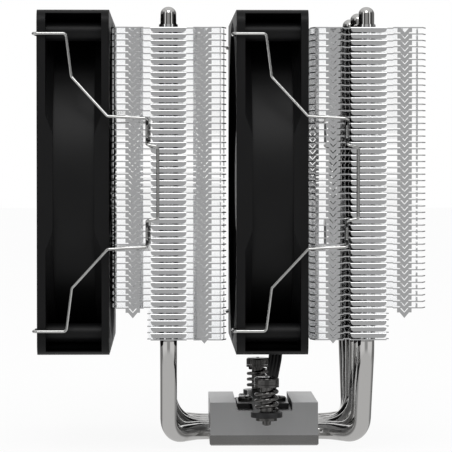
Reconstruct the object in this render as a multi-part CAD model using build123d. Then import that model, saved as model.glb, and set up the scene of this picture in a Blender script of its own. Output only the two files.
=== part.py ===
"""Dual-tower processor cooler with two 120 mm fans, six heat pipes and a spring-screw mount.

Millimetres. +Z is up, away from the processor; air blows along +X. The origin is the centre
of the cold plate's contact face. The towers stand side by side along X, one fan in front of
them and one between them.
"""

from build123d import *
import math
import os

# ---------------------------------------------------------------- driving dimensions
# Fins
FIN_COUNT = 50
SHORT_FIN_COUNT = 5
FIN_PITCH = 2.2
FIN_THICKNESS = 0.4
FIN_DEPTH = 40.0
FIN_WIDTH = 127.0
FIRST_FIN_Z = 41.0
FIN_CORNER_X = 1.5
FIN_CORNER_Y = 4.5
SHORT_FIN_CUT = 12.6
TAB_GAP = 0.4
SIDE_TAB_WIDTH = 12.3
SIDE_TAB_CORNER = 1.2
FOLD_RADIUS = 0.35
CHEVRON_WIDTH = 5.0
CHEVRON_OFFSET = 12.35
CHEVRON_HALF_POINT = 1.6
CHEVRON_SLIT = 0.18
EDGE_TAB_WIDTH = 3.0
EDGE_TAB_Y = 30.0
GROOVE_OFFSET = 7.4
GROOVE_WIDTH = 2.4
GROOVE_DEPTH = 5.0
COLLAR_WALL = 0.25
COLLAR_HEIGHT = 1.0
TOP_COLLAR_HEIGHT = 1.4

# Heat pipes
PIPE_COUNT = 6
PIPE_DIAMETER = 6.0
PIPE_FIT = 0.04
PIPE_SPACING_BASE = 7.0
PIPE_SPACING_FINS = 20.4
PIPE_BASE_Z = 4.8
PIPE_KNEE_Z = 36.0
PIPE_SPLAY = 0.45
PIPE_LOWER_BEND = 12.0
PIPE_UPPER_BEND = 14.0
PIPE_BASE_BEND = 7.0
PIPE_BEND_FROM_BASE = 3.4
TALL_TIP_RISE = 7.6
SHORT_TIP_RISE = 2.6
TIP_NARROWING = 0.4
TIP_STEP = 1.6

# Base
PLATE_LENGTH = 39.4
PLATE_WIDTH = 45.0
PLATE_THICKNESS = 3.7
PLATE_CHAMFER = 0.5
BLOCK_LENGTH = 39.0
BLOCK_WIDTH = 44.8
BLOCK_TOP_Z = 15.6
CHANNEL_WIDTH = 20.4
CHANNEL_FLOOR_Z = 12.6

# Crossbar and spring screws
SCREW_SPACING = 90.0
BAR_THICKNESS = 1.8
BAR_HUB_WIDTH = 18.8
BAR_HUB_LENGTH = 25.0
BAR_ARM_WIDTH = 8.4
BAR_EAR_RADIUS = 5.6
BAR_SHOULDER = 1.5
BAR_SCREW_OFFSET = 6.2
BAR_SCREW_DIAMETER = 3.0
BAR_SCREW_HEAD = 5.4
BAR_SCREW_HEAD_HEIGHT = 1.6
BAR_SCREW_DEPTH = 3.6
SCREW_DIAMETER = 3.0
SCREW_COLLAR_DIAMETER = 4.6
SCREW_HEAD_DIAMETER = 8.8
SCREW_HEAD_HEIGHT = 2.6
SCREW_HEAD_TOP_Z = 26.8
SCREW_END_Z = 9.6
SCREW_RECESS = 1.5
WASHER_THICKNESS = 0.8
RETAINING_RING_DIAMETER = 7.6
RETAINING_RING_THICKNESS = 0.9
RETAINING_GROOVE_DEPTH = 0.3
MOVING_GAP = 0.3
SPRING_WIRE = 1.3
SPRING_DIAMETER = 8.6
SPRING_TURNS = 3.4

# Fans, in the fan's own frame: x runs from the intake face to the outlet face
FAN_SIZE = 120.0
FAN_DEPTH = 25.0
FAN_RAISE = 0.4
FAN_ABOVE_SCREWS = 8.0
FAN_TO_FINS = 0.6
CLIP_ROOM = 3.6
FAN_CORNER = 4.5
FRONT_FLANGE = 3.0
REAR_FLANGE = 2.6
FAN_BORE_INSET = 2.0
BORE_FLARE = 1.0
DUCT_WALL = 1.6
LIP_LENGTH = 2.5
LIP_INNER = 4.2
LIP_OUTER = 6.4
RIM_THICKNESS = 1.3
FAN_HOLE_INSET = 7.5
FAN_HOLE_DIAMETER = 4.3
FAN_BOSS_DIAMETER = 6.6
STRUT_COUNT = 4
STRUT_WIDTH = 3.6
STRUT_THICKNESS = 2.6
MOTOR_BASE_RADIUS = 20.6
MOTOR_BASE_THICKNESS = 2.3
BEARING_TUBE_RADIUS = 4.0
BEARING_TUBE_START = 8.5
LEAD_CHANNEL_WIDTH = 8.0
LEAD_CHANNEL_DEPTH = 5.0
LEAD_SLOT_DEPTH = 2.6
LEAD_CHANNEL_TO_HOLE = 0.35

# Impeller and motor
BLADE_COUNT = 9
BLADE_TIP_GAP = 1.1
BLADE_THICKNESS = 1.5
HUB_RADIUS = 20.0
HUB_WALL = 1.5
HUB_FRONT = 1.5
HUB_REAR = 19.5
HUB_ROUND = 2.0
HUB_FACE_THICKNESS = 2.0
HUB_BOSS_RADIUS = 3.4
HUB_BOSS_LENGTH = 4.0
LABEL_RADIUS = 15.5
LABEL_THICKNESS = 0.2
MAGNET_THICKNESS = 2.0
MAGNET_LENGTH = 11.0
SHAFT_DIAMETER = 3.0
SHAFT_RUNNING_GAP = 0.03
SEAT_GAP = 0.04
BEARING_LENGTH = 11.0
RETAINER_RADIUS = 2.2
RETAINER_THICKNESS = 0.4
STATOR_LENGTH = 7.0
STATOR_AIR_GAP = 0.6
STATOR_HUB_WALL = 2.6
POLE_COUNT = 4
POLE_WIDTH = 3.4
SHOE_THICKNESS = 1.8
SHOE_GAP = 3.4
COIL_WALL = 2.0
BOARD_THICKNESS = 1.2
BOARD_RADIUS = 16.4

# Wire clips, measured from the outlet face of the fan along x and from the fan's centre along z
CLIP_WIRE = 1.1
CLIP_SIDE_GAP = 0.55
CLIP_BEND = 1.2
CLIP_TIGHT_BEND = 0.9
CLIP_HOOK_INSET = 1.0
CLIP_HOOK_LENGTH = 3.0
CLIP_SIDE_X = -14.8
CLIP_KNEE_X = -12.9
CLIP_KNEE_Z = 36.6
CLIP_ARM_X = -0.4
CLIP_ARM_Z = 22.9
CLIP_STEP_Z = 22.2
CLIP_GROOVE_Z = 13.1
CLIP_GROOVE_INSET = 2.2
CLIP_HANDLE_REACH = 3.7
CLIP_HANDLE_Z = 12.4
CLIP_FIN_GAP = 0.3

# Lead of the fan between the towers: a flat four-core ribbon
LEAD_WIDTH = 5.2
LEAD_THICKNESS = 1.3
LEAD_FIT = 0.15
LEAD_RUN_SHARE = 0.45
HANK_LOOP_RADIUS = 18.8
HANK_NEAR_Y = 80.0
HANK_FAR_Y = 134.0
HANK_WAIST = 12.0
TIE_WIDTH = 3.0
TIE_THICKNESS = 0.4
CONNECTOR_WIDTH = 10.2
CONNECTOR_LENGTH = 13.5
CONNECTOR_HEIGHT = 5.6
CONNECTOR_PINS = 4
CONNECTOR_PITCH = 2.54

# ---------------------------------------------------------------- places worked out from them
TOWER_GAP = FAN_DEPTH + FAN_TO_FINS + CLIP_ROOM
TOWER_X = (TOWER_GAP + FIN_DEPTH) / 2
STACK_HEIGHT = (FIN_COUNT - 1) * FIN_PITCH + FIN_THICKNESS
STACK_TOP_Z = FIRST_FIN_Z + STACK_HEIGHT
FAN_Z = max(FIRST_FIN_Z + STACK_HEIGHT / 2 + FAN_RAISE,
            SCREW_HEAD_TOP_Z + FAN_ABOVE_SCREWS + FAN_SIZE / 2)
FAN_HOLE_SPACING = FAN_SIZE - 2 * FAN_HOLE_INSET
FRONT_FAN_X = -(TOWER_GAP / 2 + FIN_DEPTH + FAN_TO_FINS + FAN_DEPTH)
MIDDLE_FAN_X = TOWER_GAP / 2 - FAN_TO_FINS - FAN_DEPTH
PIPE_RADIUS = PIPE_DIAMETER / 2
TAB_HANG = FIN_PITCH - TAB_GAP
BAR_TOP_Z = CHANNEL_FLOOR_Z + BAR_THICKNESS
SCREW_HEAD_Z = SCREW_HEAD_TOP_Z - SCREW_HEAD_HEIGHT
WASHER_TOP_Z = SCREW_HEAD_Z - MOVING_GAP / 2
WASHER_Z = WASHER_TOP_Z - WASHER_THICKNESS
BORE_RADIUS = FAN_SIZE / 2 - FAN_BORE_INSET
DUCT_RADIUS = BORE_RADIUS + DUCT_WALL
MOTOR_BASE_X = FAN_DEPTH - MOTOR_BASE_THICKNESS
CUP_RADIUS = HUB_RADIUS - HUB_WALL
MAGNET_OUTER = CUP_RADIUS - SEAT_GAP
MAGNET_INNER = MAGNET_OUTER - MAGNET_THICKNESS
SHAFT_RADIUS = SHAFT_DIAMETER / 2
SHOE_RADIUS = MAGNET_INNER - STATOR_AIR_GAP
BEARING_BORE = SHAFT_RADIUS + SHAFT_RUNNING_GAP
BEARING_RADIUS = BEARING_TUBE_RADIUS - 1.4
CLIP_RADIUS = CLIP_WIRE / 2
CLIP_HOOK_Z = FAN_HOLE_SPACING / 2 - CLIP_HOOK_INSET


# ---------------------------------------------------------------- helpers
def box(x0, x1, y0, y1, z0, z1):
    """A block between two corners."""
    return Pos((x0 + x1) / 2, (y0 + y1) / 2, (z0 + z1) / 2) * Box(x1 - x0, y1 - y0, z1 - z0)


def disc_x(x0, x1, radius):
    """A cylinder along X."""
    return Pos((x0 + x1) / 2, 0, 0) * Rot(0, 90, 0) * Cylinder(radius, x1 - x0)


def ring_x(x0, x1, outer, inner):
    """A tube along X."""
    return disc_x(x0, x1, outer) - disc_x(x0, x1, inner)


def disc_z(x, y, z0, z1, radius):
    """A cylinder along Z."""
    return Pos(x, y, (z0 + z1) / 2) * Cylinder(radius, z1 - z0)


def centred(count, spacing):
    """Positions of a row of evenly spaced things, centred on 0."""
    return [(i - (count - 1) / 2) * spacing for i in range(count)]


def save(name, *solids):
    """Writes one sub-part, which may be a group of separate solids."""
    shape = solids[0] if len(solids) == 1 else Compound(children=list(solids))
    export_step(shape, os.path.join("parts", name + ".step"))


# ---------------------------------------------------------------- heatsink
PIPE_FIN_YS = centred(PIPE_COUNT, PIPE_SPACING_FINS)
PIPE_BASE_YS = centred(PIPE_COUNT, PIPE_SPACING_BASE)


def fin_plate():
    """The flat of one fin about its tower's centre line, underside at z = 0."""
    hx, hy = FIN_DEPTH / 2, FIN_WIDTH / 2
    corner_x, corner_y = hx - FIN_CORNER_X, hy - FIN_CORNER_Y
    outline = Polyline(
        (hx, -corner_y), (hx, corner_y), (corner_x, hy), (-corner_x, hy),
        (-hx, corner_y), (-hx, -corner_y), (-corner_x, -hy), (corner_x, -hy), (hx, -corner_y),
    )
    plate = extrude(make_face(outline), FIN_THICKNESS)
    slot_half = CHEVRON_HALF_POINT + CHEVRON_SLIT
    for side in (-1, 1):
        for end in (-1, 1):
            x, y = end * GROOVE_OFFSET, side * hy
            plate -= Pos(x, y, 0) * Box(GROOVE_WIDTH, 2 * GROOVE_DEPTH, 4 * FIN_THICKNESS)
            plate -= Pos(end * CHEVRON_OFFSET, y, 0) * Box(
                2 * slot_half, 2 * (FIN_THICKNESS + CHEVRON_SLIT), 4 * FIN_THICKNESS
            )
    return plate


def side_tab(side):
    """The tab folded down in the middle of a long edge, with rounded lower corners."""
    y1 = side * FIN_WIDTH / 2
    y0 = y1 - side * FIN_THICKNESS
    half = SIDE_TAB_WIDTH / 2
    tab = box(-half, half, min(y0, y1), max(y0, y1), -TAB_HANG + FIN_THICKNESS, FIN_THICKNESS)
    lower = tab.edges().filter_by(Axis.Y).group_by(Axis.Z)[0]
    return fillet(lower, SIDE_TAB_CORNER)


def chevron_tab(side):
    """A folded tab with a V notch above and a V point below, so that the tabs nest in a column."""
    top, foot = FIN_THICKNESS, FIN_THICKNESS - TAB_HANG
    notch_foot = foot - CHEVRON_SLIT / 2
    tip = notch_foot - FIN_PITCH + 2 * CHEVRON_SLIT
    half, point = CHEVRON_WIDTH / 2, CHEVRON_HALF_POINT
    notch = point + CHEVRON_SLIT
    outline = Polyline(
        (-half, top), (-notch, top), (0, notch_foot), (notch, top), (half, top),
        (half, foot), (point, foot), (0, tip), (-point, foot), (-half, foot),
        (-half, top),
    )
    sheet = extrude(Plane.XZ * make_face(outline), FIN_THICKNESS / 2, both=True)
    return Pos(0, side * (FIN_WIDTH - FIN_THICKNESS) / 2, 0) * sheet


def fin(collar_height, folded=True):
    """One whole fin about its tower's centre line."""
    shape = fin_plate()
    if folded:
        for side in (-1, 1):
            shape += side_tab(side)
            for end in (-1, 1):
                shape += Pos(end * CHEVRON_OFFSET, 0, 0) * chevron_tab(side)
                x0, x1 = sorted((end * FIN_DEPTH / 2, end * (FIN_DEPTH / 2 - FIN_THICKNESS)))
                y = side * EDGE_TAB_Y
                shape += box(x0, x1, y - EDGE_TAB_WIDTH / 2, y + EDGE_TAB_WIDTH / 2,
                             FIN_THICKNESS - TAB_HANG, FIN_THICKNESS)
        for side in (-1, 1):
            fold = [
                e for e in shape.edges().filter_by(Axis.X)
                if abs(e.center().Y - side * FIN_WIDTH / 2) < 0.01
                and abs(e.center().Z - FIN_THICKNESS) < 0.01
                and abs(e.center().X) < SIDE_TAB_WIDTH / 2
            ]
            shape = fillet(fold, FOLD_RADIUS)
    bore = PIPE_RADIUS + PIPE_FIT
    for y in PIPE_FIN_YS:
        shape += disc_z(0, y, 0, FIN_THICKNESS + collar_height, bore + COLLAR_WALL)
    for y in PIPE_FIN_YS:
        shape -= disc_z(0, y, -FIN_THICKNESS, 2 * FIN_THICKNESS + collar_height, bore)
    return shape.solid()


def shortened(shape, outer):
    """A fin with its outer stretch cut away, as the lowest few are. outer is -1 or 1."""
    cut_x = FIN_DEPTH / 2 - SHORT_FIN_CUT
    x0, x1 = sorted((outer * cut_x, outer * FIN_DEPTH))
    return (shape - box(x0, x1, -FIN_WIDTH, FIN_WIDTH, -3 * FIN_PITCH, 3 * FIN_PITCH)).solid()


def fin_stack(outer):
    """All the fins of one tower. outer is the side of the tower away from the other one."""
    usual = fin(COLLAR_HEIGHT)
    short = shortened(usual, outer)
    lowest = shortened(fin(COLLAR_HEIGHT, folded=False), outer)
    top = fin(TOP_COLLAR_HEIGHT)
    kinds = [lowest] + [short] * (SHORT_FIN_COUNT - 1)
    kinds += [usual] * (FIN_COUNT - SHORT_FIN_COUNT - 1) + [top]
    return [
        Pos(outer * TOWER_X, 0, FIRST_FIN_Z + i * FIN_PITCH) * kind for i, kind in enumerate(kinds)
    ]


def heat_pipe(y_base, y_fins, tip_rise):
    """One U-shaped pipe, solid, with a stepped and domed tip at each end."""
    knee_y = y_base + PIPE_SPLAY * (y_fins - y_base)
    bend_x = BLOCK_LENGTH / 2 + PIPE_BEND_FROM_BASE
    top = STACK_TOP_Z + TIP_STEP
    half = [(TOWER_X, y_fins, top), (TOWER_X, y_fins, PIPE_KNEE_Z), (TOWER_X, knee_y, PIPE_BASE_Z),
            (bend_x, y_base, PIPE_BASE_Z)]
    route = [(-x, y, z) for x, y, z in half] + half[::-1]
    radii = [PIPE_UPPER_BEND, PIPE_LOWER_BEND, PIPE_BASE_BEND]
    path = FilletPolyline(*route, radius=radii + radii[::-1])
    section = Plane(origin=route[0], z_dir=(0, 0, -1)) * Circle(PIPE_RADIUS)
    pipe = sweep(section, path=path)
    tip_radius = (PIPE_DIAMETER - TIP_NARROWING) / 2
    length = tip_rise - TIP_STEP
    if length > tip_radius:
        tip = Cylinder(tip_radius, length, align=(Align.CENTER, Align.CENTER, Align.MIN))
        tip = fillet(tip.edges().group_by(Axis.Z)[-1], tip_radius * 0.92)
    else:
        tip = Cylinder(tip_radius, length, align=(Align.CENTER, Align.CENTER, Align.MIN))
        tip = fillet(tip.edges().group_by(Axis.Z)[-1], length * 0.8)
    for x in (-TOWER_X, TOWER_X):
        pipe += Pos(x, y_fins, top) * tip
    return pipe.solid()


def pipe_grooves(x_half):
    """What the six pipes take out of the base, with the fit round them."""
    radius = PIPE_RADIUS + PIPE_FIT
    rods = [Pos(0, y, PIPE_BASE_Z) * Rot(0, 90, 0) * Cylinder(radius, 2 * x_half)
            for y in PIPE_BASE_YS]
    return rods


def cold_plate():
    plate = box(-PLATE_LENGTH / 2, PLATE_LENGTH / 2, -PLATE_WIDTH / 2, PLATE_WIDTH / 2,
                0, PLATE_THICKNESS)
    plate = chamfer(plate.edges().group_by(Axis.Z)[0], PLATE_CHAMFER)
    for rod in pipe_grooves(PLATE_LENGTH):
        plate -= rod
    return plate.solid()


def base_block():
    hx, hy = BLOCK_LENGTH / 2, BLOCK_WIDTH / 2
    block = box(-hx, hx, -hy, hy, PLATE_THICKNESS, BLOCK_TOP_Z)
    channel = CHANNEL_WIDTH / 2
    block -= box(-channel, channel, -2 * hy, 2 * hy, CHANNEL_FLOOR_Z, 2 * BLOCK_TOP_Z)
    for rod in pipe_grooves(BLOCK_LENGTH):
        block -= rod
    for x in (-BAR_SCREW_OFFSET, BAR_SCREW_OFFSET):
        block -= disc_z(x, 0, CHANNEL_FLOOR_Z - BAR_SCREW_DEPTH, BLOCK_TOP_Z,
                        BAR_SCREW_DIAMETER / 2 + SEAT_GAP)
    return block.solid()


# ---------------------------------------------------------------- mounting hardware
def crossbar():
    """The bar across the base: a wide hub, two arms and a round ear at each end."""
    hub = Rectangle(BAR_HUB_WIDTH, BAR_HUB_LENGTH)
    arms = Rectangle(BAR_ARM_WIDTH, SCREW_SPACING)
    shape = hub + arms
    for y in (-SCREW_SPACING / 2, SCREW_SPACING / 2):
        shape += Pos(0, y) * Circle(BAR_EAR_RADIUS)
    inner = [v for v in shape.vertices()
             if abs(abs(v.X) - BAR_ARM_WIDTH / 2) < 0.01 and abs(v.Y) < SCREW_SPACING / 2 - 1]
    shape = fillet(inner, BAR_SHOULDER)
    bar = Pos(0, 0, CHANNEL_FLOOR_Z) * extrude(shape, BAR_THICKNESS)
    for y in (-SCREW_SPACING / 2, SCREW_SPACING / 2):
        bar -= disc_z(0, y, 0, SCREW_HEAD_TOP_Z, SCREW_COLLAR_DIAMETER / 2 + MOVING_GAP)
    for x in (-BAR_SCREW_OFFSET, BAR_SCREW_OFFSET):
        bar -= disc_z(x, 0, 0, SCREW_HEAD_TOP_Z, BAR_SCREW_DIAMETER / 2 + SEAT_GAP)
    return bar.solid()


def crossbar_screw(x):
    """A small pan-head screw that holds the bar on the block."""
    end = CHANNEL_FLOOR_Z - BAR_SCREW_DEPTH + SEAT_GAP
    screw = disc_z(x, 0, end, BAR_TOP_Z, BAR_SCREW_DIAMETER / 2)
    head = disc_z(x, 0, BAR_TOP_Z, BAR_TOP_Z + BAR_SCREW_HEAD_HEIGHT, BAR_SCREW_HEAD / 2)
    head = fillet(head.edges().group_by(Axis.Z)[-1], BAR_SCREW_HEAD_HEIGHT / 2)
    recess = Pos(x, 0, BAR_TOP_Z + BAR_SCREW_HEAD_HEIGHT) * (
        Box(3.0, 0.8, BAR_SCREW_HEAD_HEIGHT) + Box(0.8, 3.0, BAR_SCREW_HEAD_HEIGHT))
    return (screw + head - recess).solid()


def spring_screw(y):
    """The captive screw: round head with a cross recess, plain collar, ring groove and end."""
    ring_top = CHANNEL_FLOOR_Z - MOVING_GAP
    thread_top = ring_top - RETAINING_RING_THICKNESS - SEAT_GAP
    head = disc_z(0, y, SCREW_HEAD_Z, SCREW_HEAD_TOP_Z, SCREW_HEAD_DIAMETER / 2)
    head = fillet(head.edges().group_by(Axis.Z)[-1], SCREW_HEAD_HEIGHT / 3)
    recess = Pos(0, y, SCREW_HEAD_TOP_Z) * (
        Box(4.6, 1.0, 2 * SCREW_RECESS) + Box(1.0, 4.6, 2 * SCREW_RECESS))
    collar = disc_z(0, y, ring_top, SCREW_HEAD_Z, SCREW_COLLAR_DIAMETER / 2)
    neck = disc_z(0, y, thread_top, ring_top, retaining_groove_radius())
    thread = disc_z(0, y, SCREW_END_Z, thread_top, SCREW_DIAMETER / 2)
    thread = chamfer(thread.edges().group_by(Axis.Z)[0], 0.4)
    return (head + collar + neck + thread - recess).solid()


def retaining_groove_radius():
    return SCREW_DIAMETER / 2 - RETAINING_GROOVE_DEPTH


def thrust_washer(y):
    """The washer between the spring and the screw's head."""
    return (disc_z(0, y, WASHER_Z, WASHER_TOP_Z, SCREW_HEAD_DIAMETER / 2)
            - disc_z(0, y, WASHER_Z - 1, WASHER_TOP_Z + 1,
                     SCREW_COLLAR_DIAMETER / 2 + SHAFT_RUNNING_GAP)).solid()


def retaining_ring(y):
    """The ring on the screw below the bar's ear, which keeps the screw captive."""
    top = CHANNEL_FLOOR_Z - MOVING_GAP
    ring = disc_z(0, y, top - RETAINING_RING_THICKNESS, top, RETAINING_RING_DIAMETER / 2)
    ring -= disc_z(0, y, 0, BAR_TOP_Z, retaining_groove_radius() + SEAT_GAP / 2)
    mouth = 2 * retaining_groove_radius()
    ring -= box(0, SCREW_HEAD_DIAMETER, y - mouth / 2, y + mouth / 2, 0, BAR_TOP_Z)
    return ring.solid()


def spring(y):
    """The open-wound compression spring between the bar's ear and the thrust washer."""
    mean = (SPRING_DIAMETER - SPRING_WIRE) / 2
    low = BAR_TOP_Z + SPRING_WIRE / 2 + SEAT_GAP
    height = WASHER_Z - SPRING_WIRE / 2 - SEAT_GAP - low
    coil = Helix(pitch=height / SPRING_TURNS, height=height, radius=mean)
    section = Plane(origin=coil @ 0, z_dir=coil % 0) * Circle(SPRING_WIRE / 2)
    return Pos(0, y, low) * sweep(section, path=coil, is_frenet=True)


# ---------------------------------------------------------------- fans
def fan_block(x0, x1, size=FAN_SIZE):
    """A slice of the fan's rounded square outline."""
    face = Plane.YZ * RectangleRounded(size, size, FAN_CORNER)
    return Pos(x0, 0, 0) * extrude(face, x1 - x0)


def corner_points():
    half = FAN_HOLE_SPACING / 2
    return [(y, z) for y in (-half, half) for z in (-half, half)]


def fan_frame():
    """Flanges, duct, rims, corner bosses, motor base, struts and lead channel in one moulding."""
    lip_in, lip_out = DUCT_RADIUS + LIP_INNER - DUCT_WALL, DUCT_RADIUS + LIP_OUTER - DUCT_WALL
    band_front = FRONT_FLANGE + LIP_LENGTH
    band_rear = FAN_DEPTH - REAR_FLANGE - LIP_LENGTH
    profile = Polyline(
        (FRONT_FLANGE, 0), (FRONT_FLANGE, lip_out), (band_front, lip_in), (band_front, DUCT_RADIUS),
        (band_rear, DUCT_RADIUS), (band_rear, lip_in), (FAN_DEPTH - REAR_FLANGE, lip_out),
        (FAN_DEPTH - REAR_FLANGE, 0), (FRONT_FLANGE, 0),
    )
    whole = fan_block(0, FAN_DEPTH)
    duct = revolve(make_face(profile), Axis.X) & whole
    inner_half = FAN_SIZE / 2 - RIM_THICKNESS
    rims = whole - box(-1, FAN_DEPTH + 1, -FAN_SIZE, FAN_SIZE, -inner_half, inner_half)
    frame = fan_block(0, FRONT_FLANGE) + fan_block(FAN_DEPTH - REAR_FLANGE, FAN_DEPTH)
    frame = frame + duct + rims
    for y, z in corner_points():
        frame += Pos(0, y, z) * disc_x(0, FAN_DEPTH, FAN_BOSS_DIAMETER / 2)
    channel, slot = lead_channel()
    frame = frame + channel - slot
    frame -= disc_x(-1, FAN_DEPTH + 1, BORE_RADIUS)
    for x, direction in ((0, 1), (FAN_DEPTH, -1)):
        flare = Cone(BORE_RADIUS + BORE_FLARE, BORE_RADIUS, BORE_FLARE * 2,
                     align=(Align.CENTER, Align.CENTER, Align.MIN))
        frame -= Pos(x, 0, 0) * Rot(0, 90 * direction, 0) * flare
    for y, z in corner_points():
        frame -= Pos(0, y, z) * disc_x(-1, FAN_DEPTH + 1, FAN_HOLE_DIAMETER / 2)
    frame += motor_base()
    return frame.solid()


def lead_channel():
    """A rib from the duct to the lower rim, and the slot below that the fan's lead comes out of."""
    y, x0, x1 = lead_place()
    half = LEAD_CHANNEL_DEPTH / 2
    rib = box(x0, x1, y - half, y + half, -FAN_SIZE / 2, -BORE_RADIUS / 2)
    centre = (x0 + x1) / 2
    slot_x, slot_y = LEAD_WIDTH / 2 + LEAD_FIT, LEAD_THICKNESS / 2 + LEAD_FIT
    slot = box(centre - slot_x, centre + slot_x, y - slot_y, y + slot_y,
               -FAN_SIZE, -FAN_SIZE / 2 + LEAD_SLOT_DEPTH)
    return rib, slot


def lead_place():
    """Where the lead channel stands in the fan: its y, and its two sides along x."""
    rear = FAN_DEPTH - REAR_FLANGE
    hole_edge = (FAN_HOLE_SPACING - FAN_HOLE_DIAMETER) / 2
    y = hole_edge - LEAD_CHANNEL_TO_HOLE - LEAD_CHANNEL_DEPTH / 2
    return y, rear - LEAD_CHANNEL_WIDTH, rear


def motor_base():
    """The disc that carries the motor, its bearing tube and the struts that hold it."""
    base = disc_x(MOTOR_BASE_X, FAN_DEPTH, MOTOR_BASE_RADIUS)
    base = fillet(base.edges().group_by(Axis.X)[-1], 0.6)
    base += disc_x(BEARING_TUBE_START, MOTOR_BASE_X + 0.5, BEARING_TUBE_RADIUS)
    base -= disc_x(0, MOTOR_BASE_X + 0.6, BEARING_RADIUS + SEAT_GAP)
    reach = BORE_RADIUS + DUCT_WALL / 2
    start = MOTOR_BASE_RADIUS - 1.0
    strut = box(FAN_DEPTH - STRUT_THICKNESS - 0.4, FAN_DEPTH - 0.4, start, reach,
                -STRUT_WIDTH / 2, STRUT_WIDTH / 2)
    for k in range(STRUT_COUNT):
        base += Rot(45 + 360 / STRUT_COUNT * k, 0, 0) * strut
    return base


def blade_section(radius, x_lead, x_trail, width, shift, camber):
    """A thin curved section of a blade at one radius, leading edge towards the intake."""
    t = BLADE_THICKNESS / 2
    y_lead, y_trail = shift - width / 2, shift + width / 2
    chord = math.hypot(x_trail - x_lead, width)
    nx, ny = -width / chord, (x_trail - x_lead) / chord
    mid_x, mid_y = (x_lead + x_trail) / 2, shift
    lead_a, lead_b = (x_lead + nx * t * 0.6, y_lead + ny * t * 0.6), (
        x_lead - nx * t * 0.6, y_lead - ny * t * 0.6)
    trail_a, trail_b = (x_trail + nx * t * 0.4, y_trail + ny * t * 0.4), (
        x_trail - nx * t * 0.4, y_trail - ny * t * 0.4)
    crown = (mid_x + nx * (camber + t), mid_y + ny * (camber + t))
    belly = (mid_x + nx * (camber - t), mid_y + ny * (camber - t))
    outline = (ThreePointArc(lead_a, crown, trail_a) + Line(trail_a, trail_b)
               + ThreePointArc(trail_b, belly, lead_b) + Line(lead_b, lead_a))
    return Pos(0, 0, radius) * make_face(outline)


def impeller():
    """Hub cup with swept, twisted blades."""
    hub = disc_x(HUB_FRONT, HUB_REAR, HUB_RADIUS)
    hub = fillet(hub.edges().group_by(Axis.X)[0], HUB_ROUND)
    tip_radius = BORE_RADIUS - BLADE_TIP_GAP
    mid_radius = (HUB_RADIUS + tip_radius) / 2
    x0, x1 = HUB_FRONT + 1.5, HUB_REAR - 0.5
    sections = [
        blade_section(HUB_RADIUS - 3.0, x0, x1, 9.0, 0, -1.2),
        blade_section(mid_radius, x0 + 0.6, x1 - 0.2, 20.0, 0.5, -2.6),
        blade_section(tip_radius + 1.5, x0 + 2.0, x1 - 0.4, 31.0, 5.0, -4.0),
    ]
    blade = loft(sections) & ring_x(0, FAN_DEPTH, tip_radius, HUB_RADIUS - 0.6)
    for k in range(BLADE_COUNT):
        hub += Rot(360 / BLADE_COUNT * k, 0, 0) * blade
    face = HUB_FRONT + HUB_FACE_THICKNESS
    hub -= disc_x(face, FAN_DEPTH, CUP_RADIUS)
    hub += disc_x(face - 0.5, face + HUB_BOSS_LENGTH, HUB_BOSS_RADIUS)
    hub -= disc_x(face, FAN_DEPTH, SHAFT_RADIUS)
    hub -= disc_x(0, HUB_FRONT + LABEL_THICKNESS, LABEL_RADIUS + 2 * SEAT_GAP)
    return hub.solid()


def hub_label():
    return disc_x(HUB_FRONT, HUB_FRONT + LABEL_THICKNESS, LABEL_RADIUS).solid()


def magnet_ring():
    return ring_x(HUB_REAR - 0.5 - MAGNET_LENGTH, HUB_REAR - 0.5, MAGNET_OUTER, MAGNET_INNER).solid()


def motor_shaft():
    """The steel shaft, with a groove near its free end."""
    start = HUB_FRONT + HUB_FACE_THICKNESS
    shaft = disc_x(start, retainer_x() + RETAINER_THICKNESS + 0.6, SHAFT_RADIUS)
    groove = ring_x(retainer_x() - 0.05, retainer_x() + RETAINER_THICKNESS + 0.05,
                    SHAFT_RADIUS + 1, SHAFT_RADIUS - 0.3)
    return (shaft - groove).solid()


def retainer_x():
    """Where the shaft's retaining clip sits: just behind the bearing."""
    return BEARING_TUBE_START + 0.5 + BEARING_LENGTH + 0.3


def shaft_clip():
    """The split ring in the shaft's groove."""
    x0 = retainer_x()
    clip = ring_x(x0, x0 + RETAINER_THICKNESS, RETAINER_RADIUS, SHAFT_RADIUS - 0.3 + SEAT_GAP)
    return (clip - box(x0 - 1, x0 + 1, -0.4, 0.4, 0, 2 * RETAINER_RADIUS)).solid()


def sleeve_bearing():
    x0 = BEARING_TUBE_START + 0.5
    bearing = ring_x(x0, x0 + BEARING_LENGTH, BEARING_RADIUS, BEARING_BORE)
    return chamfer(bearing.edges().group_by(Axis.X)[0].sort_by(SortBy.LENGTH)[-1:], 0.2).solid()


STATOR_X = BEARING_TUBE_START + 1.5


def stator_core():
    """Laminated core with four arms, each ending in a curved shoe."""
    x0, x1 = STATOR_X, STATOR_X + STATOR_LENGTH
    inner = BEARING_TUBE_RADIUS + SEAT_GAP
    core = ring_x(x0, x1, inner + STATOR_HUB_WALL, inner)
    shoes = ring_x(x0, x1, SHOE_RADIUS, SHOE_RADIUS - SHOE_THICKNESS)
    for k in range(POLE_COUNT):
        turn = Rot(360 / POLE_COUNT * k, 0, 0)
        gap_turn = Rot(360 / POLE_COUNT * (k + 0.5), 0, 0)
        core += turn * box(x0, x1, inner + 1, SHOE_RADIUS - SHOE_THICKNESS / 2,
                           -POLE_WIDTH / 2, POLE_WIDTH / 2)
        shoes -= gap_turn * box(x0 - 1, x1 + 1, 0, 2 * SHOE_RADIUS, -SHOE_GAP / 2, SHOE_GAP / 2)
    return (core + shoes).solid()


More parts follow.
